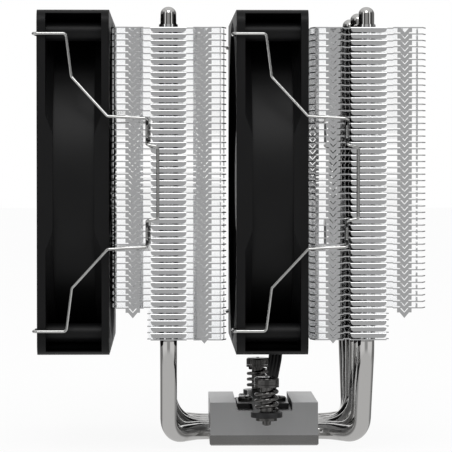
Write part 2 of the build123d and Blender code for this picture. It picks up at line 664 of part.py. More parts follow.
def winding(k):
    """One copper coil round a stator arm."""
    inner = BEARING_TUBE_RADIUS + STATOR_HUB_WALL + 0.6
    half = POLE_WIDTH / 2 + SEAT_GAP
    shoe_inner = SHOE_RADIUS - SHOE_THICKNESS
    outer = math.sqrt(shoe_inner ** 2 - (half + COIL_WALL) ** 2) - 0.2
    x0, x1 = STATOR_X - SEAT_GAP, STATOR_X + STATOR_LENGTH + SEAT_GAP
    coil = box(x0 - COIL_WALL / 2, x1 + COIL_WALL / 2, inner, outer,
               -half - COIL_WALL, half + COIL_WALL)
    coil = fillet(coil.edges().filter_by(Axis.Y), COIL_WALL / 3)
    coil -= box(x0, x1, 0, 2 * shoe_inner, -half, half)
    return (Rot(360 / POLE_COUNT * k, 0, 0) * coil).solid()


def circuit_board():
    """The ring-shaped board behind the stator, with a sensor and a driver chip on it."""
    x1 = MOTOR_BASE_X - 0.6
    x0 = x1 - BOARD_THICKNESS
    board = ring_x(x0, x1, BOARD_RADIUS, BEARING_TUBE_RADIUS + 2 * SEAT_GAP)
    for angle, wide, long in ((70, 4.0, 5.0), (205, 3.0, 4.2)):
        chip = box(x0 - 0.9, x0 + 0.1, 9.0, 9.0 + wide, -long / 2, long / 2)
        board += Rot(angle, 0, 0) * chip
    posts = [Rot(a, 0, 0) * Pos(0, 12.5, 0) * disc_x(x1 - 0.1, MOTOR_BASE_X, 1.2) for a in (0, 120, 240)]
    for post in posts:
        board += post
    return board.solid()


def fan_clip(front_x, side):
    """A spring-wire clip. side is -1 or 1, the side of the cooler that it is on."""
    rear_x = front_x + FAN_DEPTH
    hole_y = side * FAN_HOLE_SPACING / 2
    fan_y = side * (FAN_SIZE / 2 + CLIP_SIDE_GAP + CLIP_RADIUS)
    arm_y = side * (max(FIN_WIDTH, FAN_SIZE) / 2 + CLIP_FIN_GAP + CLIP_RADIUS)
    groove_y = side * (FIN_WIDTH / 2 - CLIP_GROOVE_INSET)
    face_x = front_x - CLIP_RADIUS - CLIP_SIDE_GAP
    groove_x = rear_x + FAN_TO_FINS + FIN_DEPTH / 2 - GROOVE_OFFSET
    upper = [
        (face_x + CLIP_HOOK_LENGTH, hole_y, CLIP_HOOK_Z),
        (face_x, hole_y, CLIP_HOOK_Z),
        (face_x, fan_y, CLIP_HOOK_Z),
        (rear_x + CLIP_SIDE_X, fan_y, CLIP_HOOK_Z),
        (rear_x + CLIP_KNEE_X, fan_y, CLIP_KNEE_Z),
        (rear_x + CLIP_ARM_X, arm_y, CLIP_ARM_Z),
        (groove_x, arm_y, CLIP_STEP_Z),
        (groove_x, groove_y, CLIP_STEP_Z - 2.2),
        (groove_x, groove_y, CLIP_GROOVE_Z + 2.2),
        (groove_x, arm_y, CLIP_GROOVE_Z),
        (groove_x + CLIP_HANDLE_REACH, arm_y, CLIP_HANDLE_Z),
    ]
    lower = [(x, y, -z) for x, y, z in upper[::-1]]
    route = [(x, y, FAN_Z + z) for x, y, z in upper + lower]
    radii = [CLIP_BEND] * 5 + [CLIP_TIGHT_BEND] * 5
    path = FilletPolyline(*route, radius=radii + radii[::-1])
    section = Plane(origin=route[0], z_dir=(-1, 0, 0)) * Circle(CLIP_RADIUS)
    return sweep(section, path=path).solid()


# ---------------------------------------------------------------- lead of the middle fan
def lead_route():
    """The free stretch of the lead: out of the fan's channel, down behind the base, to the hank."""
    y, x0, x1 = lead_place()
    x = MIDDLE_FAN_X + (x0 + x1) / 2
    start_z = FAN_Z - FAN_SIZE / 2 + LEAD_SLOT_DEPTH
    return [(x, y, start_z), (x, y, start_z - 9.6), (x - 1.5, y + 5.0, 19.6),
            (x - 2.4, y + 15.5, 10.6), (x - 2.6, y + 29.0, 3.6), (x - 2.8, y + 41.0, 1.6)]


def lead_radii(points):
    """An arc for each corner of the route, as large as its two runs allow."""
    radii = []
    for a, b, c in zip(points, points[1:], points[2:]):
        before, after = Vector(*b) - Vector(*a), Vector(*c) - Vector(*b)
        turn = math.radians(before.get_angle(after))
        run = min(before.length, after.length)
        radii.append(LEAD_RUN_SHARE * run / math.tan(turn / 2))
    return radii


def fan_lead():
    """The flat ribbon along the route."""
    route = lead_route()
    radii = lead_radii(route)
    print("lead radii", [round(r, 1) for r in radii])
    path = FilletPolyline(*route, radius=radii)
    section = Plane(origin=route[0], x_dir=(1, 0, 0), z_dir=(0, 0, -1)) * Rectangle(
        LEAD_WIDTH, LEAD_THICKNESS)
    ribbon = sweep(section, path=path).solid()
    print("lead volume", ribbon.volume, "expected", LEAD_WIDTH * LEAD_THICKNESS * path.length)
    return ribbon


def connector_box(grow=0.0):
    """The connector's outer block, lying inside the hank's far loop."""
    y0 = (HANK_NEAR_Y + HANK_FAR_Y) / 2 + TIE_WIDTH + 2.0
    half = CONNECTOR_WIDTH / 2 + grow
    return box(-half, half, y0 - grow, y0 + CONNECTOR_LENGTH + grow, -grow, CONNECTOR_HEIGHT + grow)


def lead_connector():
    """A four-socket plug housing with two guide rails."""
    body = connector_box()
    body = chamfer(body.edges().filter_by(Axis.Y), 0.5)
    end = body.bounding_box().max.Y
    for x in centred(CONNECTOR_PINS, CONNECTOR_PITCH):
        body -= box(x - 0.55, x + 0.55, end - 8.0, end + 1, CONNECTOR_HEIGHT / 2 - 0.55,
                    CONNECTOR_HEIGHT / 2 + 0.55)
        body -= box(x - 0.7, x + 0.7, end - 9.5, end - 5.5, CONNECTOR_HEIGHT - 0.7,
                    CONNECTOR_HEIGHT + 1)
    for x in (-2.5, 2.5):
        body += box(x - 0.5, x + 0.5, end - 5.0, end, CONNECTOR_HEIGHT - 0.1,
                    CONNECTOR_HEIGHT + 0.9)
    return body.solid()


def hank_height():
    return 2 * LEAD_THICKNESS + TIE_THICKNESS + LEAD_FIT


def lead_hank():
    """The put-away length: a flat hank with a loop at each end and a narrow tied waist."""
    middle = (HANK_NEAR_Y + HANK_FAR_Y) / 2
    outline = Pos(0, middle) * Rectangle(HANK_WAIST, HANK_FAR_Y - HANK_NEAR_Y)
    for y in (HANK_NEAR_Y, HANK_FAR_Y):
        outline += Pos(0, y) * Circle(HANK_LOOP_RADIUS)
    hank = extrude(outline, hank_height())
    groove = TIE_WIDTH / 2 + LEAD_FIT
    hank -= box(-HANK_WAIST, HANK_WAIST, middle - groove, middle + groove,
                -1, TIE_THICKNESS + LEAD_FIT)
    hank -= connector_box(grow=MOVING_GAP)
    return hank.solid()


def lead_tie():
    """The band round the hank's waist."""
    middle = (HANK_NEAR_Y + HANK_FAR_Y) / 2
    inner_x = HANK_WAIST / 2 + LEAD_FIT
    outer_x = inner_x + TIE_THICKNESS
    y0, y1 = middle - TIE_WIDTH / 2, middle + TIE_WIDTH / 2
    top = hank_height() + LEAD_FIT
    band = box(-outer_x, outer_x, y0, y1, 0, top + TIE_THICKNESS)
    band = fillet(band.edges().filter_by(Axis.Y), TIE_THICKNESS)
    return (band - box(-inner_x, inner_x, y0 - 1, y1 + 1, TIE_THICKNESS, top)).solid()


# ---------------------------------------------------------------- writing the sub-parts
def write_heatsink():
    save("front_fin_stack", *fin_stack(-1))
    save("rear_fin_stack", *fin_stack(1))
    for i, (y_base, y_fins) in enumerate(zip(PIPE_BASE_YS, PIPE_FIN_YS)):
        rise = TALL_TIP_RISE if i % 2 == 0 else SHORT_TIP_RISE
        save(f"heat_pipe_{i + 1}", heat_pipe(y_base, y_fins, rise))
    save("cold_plate", cold_plate())
    save("base_block", base_block())


def write_mounting():
    save("mounting_crossbar", crossbar())
    save("crossbar_screws", *[crossbar_screw(x) for x in (-BAR_SCREW_OFFSET, BAR_SCREW_OFFSET)])
    for name, y in (("near", -SCREW_SPACING / 2), ("far", SCREW_SPACING / 2)):
        save(f"{name}_spring_screw", spring_screw(y))
        save(f"{name}_spring", spring(y))
        save(f"{name}_thrust_washer", thrust_washer(y))
        save(f"{name}_retaining_ring", retaining_ring(y))


def write_fan(name, front_x):
    place = Pos(front_x, 0, FAN_Z)
    pieces = {
        "frame": fan_frame(), "impeller": impeller(), "hub_label": hub_label(),
        "magnet_ring": magnet_ring(), "motor_shaft": motor_shaft(), "shaft_clip": shaft_clip(),
        "sleeve_bearing": sleeve_bearing(), "stator_core": stator_core(),
        "circuit_board": circuit_board(),
    }
    for piece, shape in pieces.items():
        save(f"{name}_fan_{piece}", place * shape)
    save(f"{name}_fan_windings", *[place * winding(k) for k in range(POLE_COUNT)])
    for side_name, side in (("near", -1), ("far", 1)):
        save(f"{name}_fan_clip_{side_name}", fan_clip(front_x, side))


def write_lead():
    save("middle_fan_lead", fan_lead())
    save("middle_fan_lead_hank", lead_hank())
    save("middle_fan_lead_tie", lead_tie())
    save("middle_fan_lead_connector", lead_connector())


os.makedirs("parts", exist_ok=True)
write_heatsink()
write_mounting()
write_fan("front", FRONT_FAN_X)
write_fan("middle", MIDDLE_FAN_X)
write_lead()
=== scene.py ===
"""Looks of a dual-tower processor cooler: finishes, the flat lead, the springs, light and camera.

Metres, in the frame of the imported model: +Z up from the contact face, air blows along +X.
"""

import math

import bpy
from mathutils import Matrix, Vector


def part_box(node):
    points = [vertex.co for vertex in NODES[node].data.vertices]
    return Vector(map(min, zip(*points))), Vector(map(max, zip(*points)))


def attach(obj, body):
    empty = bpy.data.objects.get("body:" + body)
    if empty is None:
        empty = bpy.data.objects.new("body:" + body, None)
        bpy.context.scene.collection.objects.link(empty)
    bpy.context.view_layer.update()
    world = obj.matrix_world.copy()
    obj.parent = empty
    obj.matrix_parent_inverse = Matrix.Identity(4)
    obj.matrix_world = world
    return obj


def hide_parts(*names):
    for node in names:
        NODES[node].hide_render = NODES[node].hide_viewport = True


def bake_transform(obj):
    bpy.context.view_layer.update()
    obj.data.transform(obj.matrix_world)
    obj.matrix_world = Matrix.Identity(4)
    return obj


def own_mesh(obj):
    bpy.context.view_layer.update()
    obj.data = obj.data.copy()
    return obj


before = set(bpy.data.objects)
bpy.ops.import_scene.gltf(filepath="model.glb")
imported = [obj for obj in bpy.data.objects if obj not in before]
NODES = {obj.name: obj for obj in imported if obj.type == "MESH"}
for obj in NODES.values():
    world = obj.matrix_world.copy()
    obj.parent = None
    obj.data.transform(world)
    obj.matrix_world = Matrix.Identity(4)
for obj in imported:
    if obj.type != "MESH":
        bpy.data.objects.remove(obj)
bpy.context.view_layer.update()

MM = 0.001


SMOOTH_UP_TO = math.radians(50)

# ---------------------------------------------------------------- camera
CAMERA_PLACE = (-0.0355, -0.960, 0.104)
CAMERA_TARGET = (-0.0133, 0.0, 0.0789)


def aim(thing, target):
    """Turns a camera or a lamp to look at a point."""
    way = Vector(target) - thing.location
    thing.rotation_euler = way.to_track_quat("-Z", "Y").to_euler()


def place_camera():
    data = bpy.data.cameras.new("camera")
    data.lens, data.sensor_width = 207.0, 36.0
    data.clip_start, data.clip_end = 0.05, 30.0
    camera = bpy.data.objects.new("camera", data)
    bpy.context.scene.collection.objects.link(camera)
    camera.location = CAMERA_PLACE
    aim(camera, CAMERA_TARGET)
    bpy.context.scene.camera = camera


# ---------------------------------------------------------------- the flat lead of the middle fan
LEAD_WIDTH = 5.2 * MM
LEAD_CORES = 4
LEAD_CORE = LEAD_WIDTH / LEAD_CORES
CORE_ARC = (28, 60, 90, 120, 152)
# heights of the ribbon's middle where it lies flat and where it crosses itself, in millimetres
LAID, CROSSING = 0.95, 2.1

# out of the fan's channel, down behind the base, along the floor and round the tied hank
LEAD_ROUTE = [
    (7.4, 47.5, 38.1), (7.4, 47.5, 28.5), (5.9, 52.5, 19.6), (5.0, 63.0, 10.6),
    (4.8, 76.5, 3.9), (4.6, 88.5, LAID + 0.6), (3.8, 98.0, LAID), (3.0, 107.0, LAID),
    (5.0, 116.0, LAID), (12.0, 122.5, LAID), (15.6, 131.0, LAID), (14.2, 141.5, LAID),
    (6.5, 149.6, LAID), (-4.0, 150.4, LAID), (-12.8, 144.6, LAID), (-15.8, 134.5, LAID),
    (-12.6, 123.6, LAID), (-5.6, 116.5, LAID), (-3.0, 107.0, LAID), (-4.4, 98.5, LAID),
    (-11.0, 92.6, LAID), (-15.4, 84.0, LAID), (-14.6, 73.6, LAID), (-8.0, 65.6, LAID),
    (2.0, 63.8, LAID), (11.4, 68.4, LAID), (15.8, 77.5, LAID), (13.8, 88.0, 1.3),
    (7.4, 95.6, CROSSING), (2.4, 101.0, CROSSING), (0.4, 107.0, CROSSING), (0.2, 112.6, 2.3),
]


def line_through(points):
    """The points of a smooth open curve that has these as its control points."""
    curve = bpy.data.curves.new("route", "CURVE")
    curve.dimensions, curve.resolution_u = "3D", 10
    spline = curve.splines.new("NURBS")
    spline.points.add(len(points) - 1)
    for point, place in zip(spline.points, points):
        point.co = (*[c * MM for c in place], 1.0)
    spline.order_u = 3
    spline.use_endpoint_u = True
    route = bpy.data.objects.new("route", curve)
    bpy.context.scene.collection.objects.link(route)
    bpy.context.view_layer.update()
    mesh = bpy.data.meshes.new_from_object(route)
    line = [v.co.copy() for v in mesh.vertices]
    bpy.data.objects.remove(route)
    bpy.data.meshes.remove(mesh)
    return line


def ribbon_section():
    """The outline of four round cores moulded side by side, as (across, through) pairs."""
    radius = LEAD_CORE / 2
    centres = [(i - (LEAD_CORES - 1) / 2) * LEAD_CORE for i in range(LEAD_CORES)]
    upper = [(c - radius * math.cos(math.radians(a)), radius * math.sin(math.radians(a)))
             for c in centres for a in CORE_ARC]
    left, right = (centres[0] - radius, 0.0), (centres[-1] + radius, 0.0)
    return [left] + upper + [right] + [(x, -y) for x, y in upper[::-1]]


def flat_lead():
    """The ribbon swept along its route, in place of the CAD lead and hank."""
    line = line_through(LEAD_ROUTE)
    outline = ribbon_section()
    across = Vector((1, 0, 0))
    verts = []
    for i, here in enumerate(line):
        way = (line[min(i + 1, len(line) - 1)] - line[max(i - 1, 0)]).normalized()
        across = (across - way * across.dot(way)).normalized()
        through = way.cross(across)
        verts += [here + across * a + through * t for a, t in outline]
    n = len(outline)
    faces = [(i * n + k, i * n + (k + 1) % n, (i + 1) * n + (k + 1) % n, (i + 1) * n + k)
             for i in range(len(line) - 1) for k in range(n)]
    faces += [tuple(range(n))[::-1], tuple(range(len(verts) - n, len(verts)))]
    mesh = bpy.data.meshes.new("fan_lead_ribbon")
    mesh.from_pydata([tuple(v) for v in verts], [], faces)
    lead = bpy.data.objects.new("fan_lead_ribbon", mesh)
    bpy.context.scene.collection.objects.link(lead)
    only(lead)
    bpy.ops.object.mode_set(mode="EDIT")
    bpy.ops.mesh.select_all(action="SELECT")
    bpy.ops.mesh.normals_make_consistent(inside=False)
    bpy.ops.object.mode_set(mode="OBJECT")
    bpy.ops.object.shade_smooth_by_angle(angle=SMOOTH_UP_TO)
    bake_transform(lead)
    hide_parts("middle_fan_lead", "middle_fan_lead_hank")
    return lead


# ---------------------------------------------------------------- the two pressure springs
SPRING_WIRE = 1.3 * MM
SPRING_TURNS = 3.4
STEPS_A_TURN = 40
WIRE_ROUNDNESS = 5


def pressure_spring(side, finish):
    """Drawn wire coiled between the crossbar and the washer, in the CAD spring's place."""
    low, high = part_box(f"{side}_spring")
    centre = (low + high) / 2
    radius = (high.x - low.x - SPRING_WIRE) / 2
    foot, rise = low.z + SPRING_WIRE / 2, high.z - low.z - SPRING_WIRE
    curve = bpy.data.curves.new("coil", "CURVE")
    curve.dimensions, curve.bevel_depth = "3D", SPRING_WIRE / 2
    curve.bevel_resolution = WIRE_ROUNDNESS
    curve.use_fill_caps = True
    coil = curve.splines.new("POLY")
    steps = round(SPRING_TURNS * STEPS_A_TURN)
    coil.points.add(steps)
    for i, point in enumerate(coil.points):
        turned = 2 * math.pi * SPRING_TURNS * i / steps
        point.co = (centre.x + radius * math.cos(turned), centre.y + radius * math.sin(turned),
                    foot + rise * i / steps, 1.0)
    spring = bpy.data.objects.new(f"{side}_pressure_spring", curve)
    bpy.context.scene.collection.objects.link(spring)
    only(spring)
    bpy.ops.object.convert(target="MESH")
    spring = bpy.context.active_object
    bpy.ops.object.shade_smooth_by_angle(angle=SMOOTH_UP_TO)
    spring.data.materials.clear()
    spring.data.materials.append(finish.material)
    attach(spring, "heatsink")
    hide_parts(f"{side}_spring")
    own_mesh(spring)


def fit_springs():
    wire = spring_wire()
    for side in ("near", "far"):
        pressure_spring(side, wire)


def only(thing):
    """Selects one object and nothing else."""
    bpy.ops.object.select_all(action="DESELECT")
    thing.select_set(True)
    bpy.context.view_layer.objects.active = thing


# ---------------------------------------------------------------- arithmetic on nodes
class Number:
    """A number that comes out of a node and can be used in sums."""

    def __init__(self, finish, socket):
        self.finish, self.socket = finish, socket

    def sum(self, operation, *parts):
        made = self.finish.node("ShaderNodeMath", {"operation": operation},
                                dict(enumerate(parts)))
        return Number(self.finish, made.outputs[0])

    def __add__(self, other):
        return self.sum("ADD", self, other)

    def __radd__(self, other):
        return self.sum("ADD", other, self)

    def __sub__(self, other):
        return self.sum("SUBTRACT", self, other)

    def __rsub__(self, other):
        return self.sum("SUBTRACT", other, self)

    def __mul__(self, other):
        return self.sum("MULTIPLY", self, other)

    def __rmul__(self, other):
        return self.sum("MULTIPLY", other, self)

    def __gt__(self, other):
        return self.sum("GREATER_THAN", self, other)

    def __lt__(self, other):
        return self.sum("LESS_THAN", self, other)

    def __pow__(self, other):
        return self.sum("POWER", self, other)

    def sine(self):
        return self.sum("SINE", self)

    def size(self):
        return self.sum("ABSOLUTE", self)

    def fraction(self):
        return self.sum("FRACT", self)

    def step(self, low, high):
        """0 below low, 1 above high, and a smooth rise between them."""
        made = self.finish.node("ShaderNodeMapRange", {"interpolation_type": "SMOOTHSTEP"},
                                {"Value": self, "From Min": low, "From Max": high})
        return Number(self.finish, made.outputs[0])

    def blend(self, first, second):
        """The first colour where this is 0, the second where it is 1."""
        made = self.finish.node("ShaderNodeMix", {"data_type": "RGBA"},
                                {0: self, 6: first, 7: second})
        return made.outputs[2]


class Finish:
    """One material of the cooler, built on a single shader."""

    def __init__(self, name, **constants):
        self.material = bpy.data.materials.new(name)
        self.material.use_nodes = True
        self.tree = self.material.node_tree
        self.tree.nodes.clear()
        self.shader = self.tree.nodes.new("ShaderNodeBsdfPrincipled")
        out = self.tree.nodes.new("ShaderNodeOutputMaterial")
        self.tree.links.new(self.shader.outputs[0], out.inputs["Surface"])
        self.put(**constants)

    def node(self, kind, settings, sockets):
        made = self.tree.nodes.new(kind)
        for key, value in settings.items():
            setattr(made, key, value)
        for key, value in sockets.items():
            self.feed(made.inputs[key], value)
        return made

    def feed(self, socket, value):
        if isinstance(value, Number):
            value = value.socket
        if isinstance(value, bpy.types.NodeSocket):
            self.tree.links.new(value, socket)
        elif isinstance(value, tuple) and len(value) == 3 and socket.type == "RGBA":
            socket.default_value = (*value, 1.0)
        else:
            socket.default_value = value

    def put(self, **inputs):
        """Sets the shader's sockets, named with _ for a space."""
        for key, value in inputs.items():
            self.feed(self.shader.inputs[key.replace("_", " ")], value)

    def place(self, centre=(0, 0, 0), stretch=(1, 1, 1)):
        """The object's own coordinates, from a centre and stretched per axis."""
        made = self.node("ShaderNodeTexCoord", {}, {})
        shift = tuple(-c * s for c, s in zip(centre, stretch))
        return self.node("ShaderNodeMapping", {}, {
            "Vector": made.outputs["Object"], "Location": shift, "Scale": stretch}).outputs[0]

    def axes(self, centre=(0, 0, 0)):
        made = self.node("ShaderNodeSeparateXYZ", {}, {0: self.place(centre)})
        return [Number(self, made.outputs[i]) for i in range(3)]

    def grain(self, scale, stretch=(1, 1, 1), detail=2.0, roughness=0.5):
        """Soft noise from 0 to 1, scale lumps to the metre."""
        made = self.node("ShaderNodeTexNoise", {}, {
            "Vector": self.place(stretch=stretch), "Scale": scale, "Detail": detail,
            "Roughness": roughness})
        return Number(self, made.outputs[0])

    def cells(self, scale, stretch=(1, 1, 1)):
        made = self.node("ShaderNodeTexVoronoi", {}, {
            "Vector": self.place(stretch=stretch), "Scale": scale})
        return Number(self, made.outputs["Distance"])

    def relief(self, height, strength, depth):
        """Raises the surface by depth where height is 1."""
        made = self.node("ShaderNodeBump", {}, {
            "Height": height, "Strength": strength, "Distance": depth})
        self.put(Normal=made.outputs[0])


# ---------------------------------------------------------------- finishes
def rolled_aluminium():
    """Bright fin sheet with the faint lengthwise lines of the rolling mill."""
    f = Finish("rolled_aluminium", Metallic=1.0)
    lines = f.grain(1400, stretch=(1.0, 0.04, 1.0), detail=3.0)
    patches = f.grain(55, detail=3.0, roughness=0.6)
    f.put(Base_Color=patches.blend((0.95, 0.955, 0.96), (0.90, 0.905, 0.915)),
          Roughness=0.05 + 0.05 * lines + 0.02 * patches)
    f.relief(lines, 0.12, 0.00003)
    return f


def nickel_plating():
    """Mirror nickel on the drawn pipes, with a slight orange peel and rub marks."""
    f = Finish("nickel_plating", Metallic=1.0)
    peel = f.grain(420, detail=2.0)
    marks = f.grain(90, stretch=(1, 1, 0.3), detail=4.0, roughness=0.6).step(0.55, 0.75)
    f.put(Base_Color=marks.blend((0.64, 0.632, 0.62), (0.56, 0.553, 0.54)),
          Roughness=0.06 + 0.07 * marks)
    f.relief(peel, 0.10, 0.00006)
    return f


def lapped_plate():
    """The contact plate, nickel over fine straight lapping lines."""
    f = Finish("lapped_plate", Metallic=1.0)
    lines = f.grain(2600, stretch=(0.02, 1.0, 1.0), detail=3.0)
    haze = f.grain(70, detail=2.0)
    f.put(Base_Color=haze.blend((0.38, 0.377, 0.37), (0.30, 0.297, 0.29)),
          Roughness=0.20 + 0.12 * lines)
    f.relief(lines, 0.3, 0.00003)
    return f


def milled_block():
    """The extruded and milled base: long lines on its sides and cutter arcs on top."""
    f = Finish("milled_block", Metallic=1.0)
    x, y, _ = f.axes()
    extruded = f.grain(1500, stretch=(1.0, 0.03, 1.0), detail=3.0)
    sawn = f.grain(1900, stretch=(0.05, 1.0, 1.0), detail=3.0)
    arcs = ((x * x + (y + 0.06) * (y + 0.06)) ** 0.5 * 9000.0).sine() * 0.5 + 0.5
    cloud = f.grain(45, detail=3.0)
    f.put(Base_Color=cloud.blend((0.60, 0.602, 0.605), (0.50, 0.502, 0.505)),
          Roughness=0.30 + 0.12 * sawn + 0.05 * arcs)
    f.relief(0.4 * extruded + 0.5 * sawn + 0.1 * arcs, 0.35, 0.00006)
    return f


def black_bar():
    """Semi-gloss black plating on the stamped spring-steel bar, worn thin in spots."""
    f = Finish("black_bar", Specular_IOR_Level=0.5)
    pebble = f.grain(1800, detail=2.0)
    worn = f.grain(240, detail=4.0, roughness=0.65).step(0.60, 0.75)
    f.put(Base_Color=worn.blend((0.008, 0.008, 0.009), (0.030, 0.030, 0.031)),
          Roughness=0.24 + 0.12 * pebble)
    f.relief(pebble, 0.3, 0.00006)
    return f


def dark_chrome():
    """Black-nickel screws, washers and rings with turning lines round them."""
    f = Finish("dark_chrome", Metallic=1.0)
    turned = f.grain(1600, stretch=(0.15, 0.15, 1.0), detail=2.0)
    wear = f.grain(260, detail=4.0, roughness=0.65).step(0.5, 0.72)
    f.put(Base_Color=wear.blend((0.10, 0.098, 0.096), (0.20, 0.196, 0.19)),
          Roughness=0.05 + 0.10 * turned)
    f.relief(turned, 0.2, 0.00003)
    return f


def spring_wire():
    """Dark drawn wire of the compression springs."""
    f = Finish("spring_wire", Metallic=1.0)
    drawn = f.grain(900, detail=3.0)
    f.put(Base_Color=drawn.blend((0.11, 0.108, 0.105), (0.20, 0.196, 0.19)),
          Roughness=0.06 + 0.08 * drawn)
    f.relief(drawn, 0.12, 0.00003)
    return f


def bright_wire():
    """Polished plating on the fan clips."""
    f = Finish("bright_wire", Metallic=1.0)
    drawn = f.grain(700, detail=2.0)
    rubs = f.grain(150, detail=4.0, roughness=0.6).step(0.56, 0.74)
    f.put(Base_Color=rubs.blend((0.58, 0.58, 0.57), (0.46, 0.46, 0.45)),
          Roughness=0.07 + 0.08 * rubs + 0.03 * drawn)
    f.relief(drawn, 0.08, 0.00003)
    return f


def moulded_frame():
    """Black fan plastic with a fine spark-eroded texture."""
    f = Finish("moulded_frame", Specular_IOR_Level=0.22)
    spark = f.grain(3600, detail=2.0, roughness=0.6)
    broad = f.grain(120, detail=3.0)
    f.put(Base_Color=broad.blend((0.0035, 0.0035, 0.0038), (0.0055, 0.0055, 0.0058)),
          Roughness=0.38 + 0.14 * spark)
    f.relief(spark, 0.35, 0.00005)
    return f


def moulded_blades(centre):
    """Smoother black plastic of the impeller, with faint flow lines out from the hub."""
    f = Finish("moulded_blades", Specular_IOR_Level=0.30)
    _, y, z = f.axes(centre)
    radius = (y * y + z * z) ** 0.5
    flow = f.grain(500, detail=3.0)
    rings = ((radius * 2600.0 + flow * 4.0).sine() * 0.5 + 0.5)
    f.put(Base_Color=flow.blend((0.005, 0.005, 0.0055), (0.008, 0.008, 0.0088)),
          Roughness=0.30 + 0.10 * flow)
    f.relief(0.7 * flow + 0.3 * rings, 0.15, 0.00004)
    return f


def printed_label(centre):
    """A plain satin disc printed with two fine rings and four marks."""
    f = Finish("printed_label", Specular_IOR_Level=0.4)
    _, y, z = f.axes(centre)
    radius = (y * y + z * z) ** 0.5
    outer = 1.0 - ((radius - 0.0136).size()).step(0.00018, 0.00030)
    inner = 1.0 - ((radius - 0.0062).size()).step(0.00012, 0.00024)
    spoke = (y.size() < 0.0003) + (z.size() < 0.0003)
    marks = spoke * (radius > 0.0088) * (radius < 0.0112)
    ink = (outer + inner + marks).step(0.2, 0.8)
    fibre = f.grain(1500, detail=2.0)
    f.put(Base_Color=ink.blend((0.030, 0.030, 0.032), (0.42, 0.42, 0.43)),
          Roughness=0.32 + 0.12 * fibre)
    f.relief(fibre, 0.12, 0.00002)
    return f


def pressed_ferrite():
    """Dull grey magnet with a fine grit."""
    f = Finish("pressed_ferrite", Metallic=0.15)
    grit = f.grain(2400, detail=3.0)
    f.put(Base_Color=grit.blend((0.035, 0.034, 0.034), (0.075, 0.073, 0.072)),
          Roughness=0.55 + 0.2 * grit)
    f.relief(grit, 0.4, 0.00005)
    return f


def ground_steel():
    """Shaft steel with grinding lines round it."""
    f = Finish("ground_steel", Metallic=1.0)
    lines = f.grain(3000, stretch=(1.0, 0.1, 0.1), detail=2.0)
    f.put(Base_Color=lines.blend((0.72, 0.72, 0.71), (0.60, 0.60, 0.59)),
          Roughness=0.12 + 0.14 * lines)
    f.relief(lines, 0.15, 0.00002)
    return f


def oiled_bronze():
    """Sintered bearing metal, full of small pores."""
    f = Finish("oiled_bronze", Metallic=1.0)
    pores = f.cells(4200).step(0.15, 0.45)
    f.put(Base_Color=pores.blend((0.20, 0.12, 0.055), (0.56, 0.35, 0.16)),
          Roughness=0.45 - 0.15 * pores)
    f.relief(pores, 0.4, 0.00004)
    return f


def stacked_laminations():
    """Punched steel sheets stacked along the shaft, half a millimetre each."""
    f = Finish("stacked_laminations", Metallic=1.0)
    x, _, _ = f.axes()
    gap = 1.0 - ((x * 2000.0).fraction() - 0.5).size().step(0.40, 0.48)
    rust = f.grain(700, detail=4.0)
    f.put(Base_Color=rust.blend((0.42, 0.42, 0.42), (0.30, 0.29, 0.28)),
          Roughness=0.30 + 0.25 * rust)
    f.relief(gap, 0.6, 0.00010)
    return f


def wound_copper():
    """Fine enamelled wire laid side by side along the coil."""
    f = Finish("wound_copper", Metallic=1.0, Coat_Roughness=0.15)
    _, y, z = f.axes()
    turns = ((y + z) * (2 * math.pi / 0.00035)).sine().size()
    shade = f.grain(300, detail=3.0)
    f.put(Base_Color=shade.blend((0.62, 0.22, 0.085), (0.78, 0.34, 0.15)),
          Coat_Weight=0.5 * turns, Roughness=0.22 + 0.15 * (1.0 - turns))
    f.relief(turns, 0.7, 0.00012)
    return f


def solder_board(board_front):
    """Green lacquered board with copper tracks; what stands on its front is black resin."""
    f = Finish("solder_board", Specular_IOR_Level=0.5)
    x, y, z = f.axes()
    chip = x < board_front
    tracks = f.cells(520).step(0.42, 0.50)
    weave = ((y * 5200.0).sine() * (z * 5200.0).sine()).size()
    green = tracks.blend((0.010, 0.085, 0.032), (0.035, 0.17, 0.055))
    f.put(Base_Color=chip.blend(green, (0.012, 0.012, 0.013)),
          Roughness=0.28 + 0.22 * chip + 0.06 * weave)
    f.relief(0.7 * tracks + 0.3 * weave, 0.3, 0.00004)
    return f


def ribbon_jacket():
    """Soft black insulation with a slightly uneven, waxy skin."""
    f = Finish("ribbon_jacket", Specular_IOR_Level=0.2)
    skin = f.grain(1300, detail=3.0)
    dust = f.grain(200, detail=4.0, roughness=0.65).step(0.55, 0.8)
    f.put(Base_Color=dust.blend((0.005, 0.005, 0.0055), (0.014, 0.014, 0.015)),
          Roughness=0.36 + 0.14 * skin)
    f.relief(skin, 0.25, 0.00004)
    return f


def nylon_housing():
    f = Finish("nylon_housing", Specular_IOR_Level=0.5)
    skin = f.grain(2600, detail=2.0)
    f.put(Base_Color=skin.blend((0.012, 0.012, 0.013), (0.020, 0.020, 0.021)),
          Roughness=0.30 + 0.16 * skin)
    f.relief(skin, 0.2, 0.00003)
    return f


def tie_band():
    """Ribbed nylon tie."""
    f = Finish("tie_band", Specular_IOR_Level=0.5)
    x, _, z = f.axes()
    ribs = ((x + z) * (2 * math.pi / 0.0008)).sine() * 0.5 + 0.5
    f.put(Base_Color=ribs.blend((0.016, 0.016, 0.017), (0.024, 0.024, 0.025)),
          Roughness=0.34 + 0.10 * ribs)
    f.relief(ribs, 0.5, 0.00012)
    return f


def paint(name, finish):
    """Gives a CAD node its finish."""
    for holder in NODES[name].material_slots:
        holder.material = finish.material


